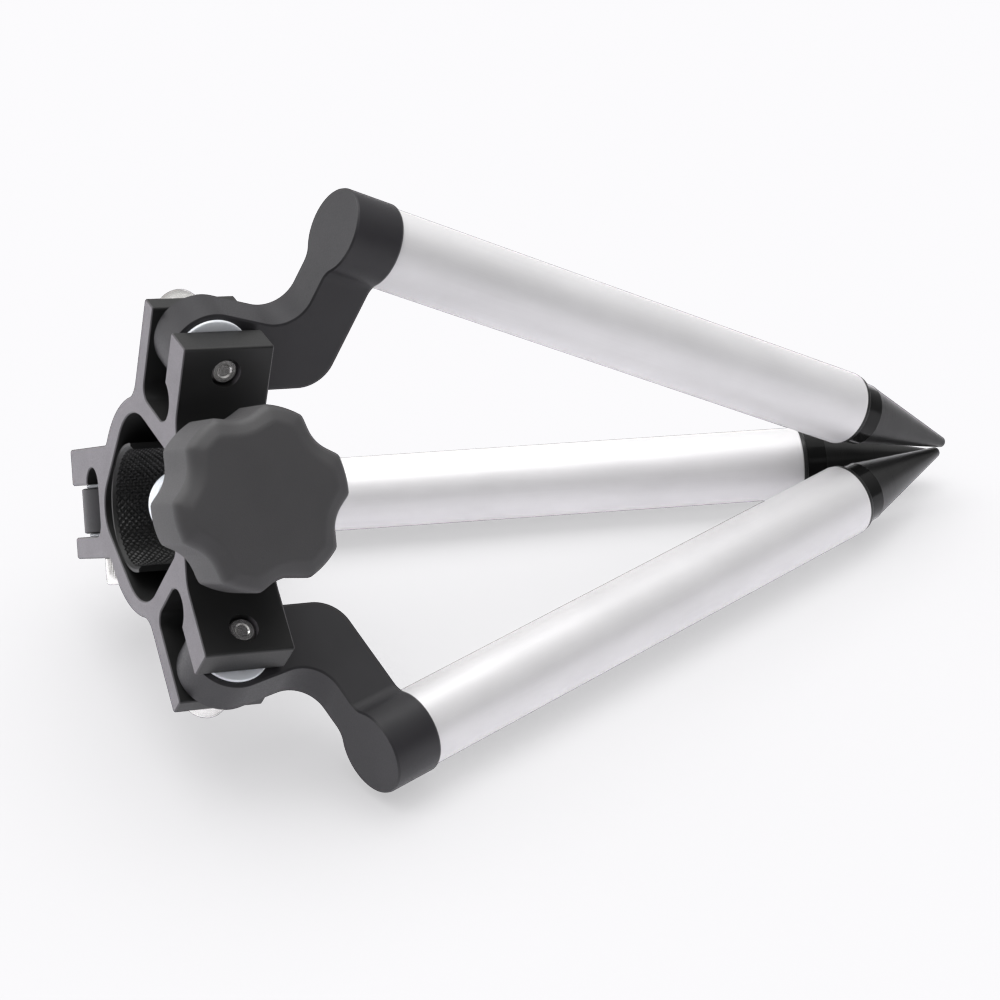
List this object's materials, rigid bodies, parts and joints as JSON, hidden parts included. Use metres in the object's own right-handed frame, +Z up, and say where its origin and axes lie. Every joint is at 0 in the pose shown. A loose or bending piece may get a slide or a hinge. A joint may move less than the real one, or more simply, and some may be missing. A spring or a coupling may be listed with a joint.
{
  "type": "folding survey pole tripod",
  "caption": "Clamp-on tripod for a survey pole: a slotted hub with a hand-knob clamp screw and cranked tube legs with pointed feet that fold together below it",
  "frame": {"origin": "middle of the bounding box in plan, on the ground the folded tripod lies on", "axes": "+X runs from the hub to the feet, +Z is up from the ground, +Y completes a right-handed set; the tripod lies on legs b and c with leg a on top"},
  "size_m": [0.2666, 0.1612, 0.1429],
  "materials": {
    "black_anodised": "satin black anodised",
    "black_anodised_arm": "satin black anodised",
    "silver_anodised": "satin clear anodised",
    "foot_black": "semi-gloss black",
    "white_nylon": "moulded white nylon",
    "knob": "fine matt dark grey",
    "liner": "black, checkered inside",
    "steel": "bright stainless",
    "brass": "turned"
  },
  "bodies": {
    "hub_body": {"hub": "black_anodised", "pole_liner": "liner", "hinge_screw_a": "steel", "tapped_side_washer_a": "white_nylon", "head_side_washer_a": "white_nylon", "hinge_screw_b": "steel", "tapped_side_washer_b": "white_nylon", "head_side_washer_b": "white_nylon", "hinge_screw_c": "steel", "tapped_side_washer_c": "white_nylon", "head_side_washer_c": "white_nylon"},
    "leg_a": {"arm_a": "black_anodised_arm", "tube_a": "silver_anodised", "foot_a": "foot_black"},
    "leg_b": {"arm_b": "black_anodised_arm", "tube_b": "silver_anodised", "foot_b": "foot_black"},
    "leg_c": {"arm_c": "black_anodised_arm", "tube_c": "silver_anodised", "foot_c": "foot_black"},
    "tip": {"clamp_tip": "white_nylon"},
    "hand_screw": {"clamp_screw": "steel", "knob": "knob", "knob_nut": "brass"}
  },
  "joints": [
    {"name": "leg_a_fold", "type": "hinge", "parent": "hub_body", "child": "leg_a", "pos_m": [-0.10406, -0.00059, 0.10776], "axis": [-0.0004, -1, -0.0019], "range_deg": [0, 65]},
    {"name": "leg_b_fold", "type": "hinge", "parent": "hub_body", "child": "leg_b", "pos_m": [-0.11779, -0.04245, 0.03624], "axis": [-0.163, 0.5017, -0.8496], "range_deg": [0, 65]},
    {"name": "leg_c_fold", "type": "hinge", "parent": "hub_body", "child": "leg_c", "pos_m": [-0.11776, 0.04156, 0.0364], "axis": [0.1634, 0.4983, 0.8514], "range_deg": [0, 65]},
    {"name": "clamp_feed", "type": "slide", "parent": "hub_body", "child": "tip", "axis": [0.0939, -0.867, 0.4894], "range_m": [-0.003, 0.018]},
    {"name": "knob_turn", "type": "hinge", "parent": "tip", "child": "hand_screw", "pos_m": [-0.1132, -0.00049, 0.06013], "axis": [0.0939, -0.867, 0.4894], "range_deg": [-720, 4320]}
  ],
  "couplings": [
    {"joint": "clamp_feed", "follows": "knob_turn", "m_per_rad": 0.0002387}
  ]
}
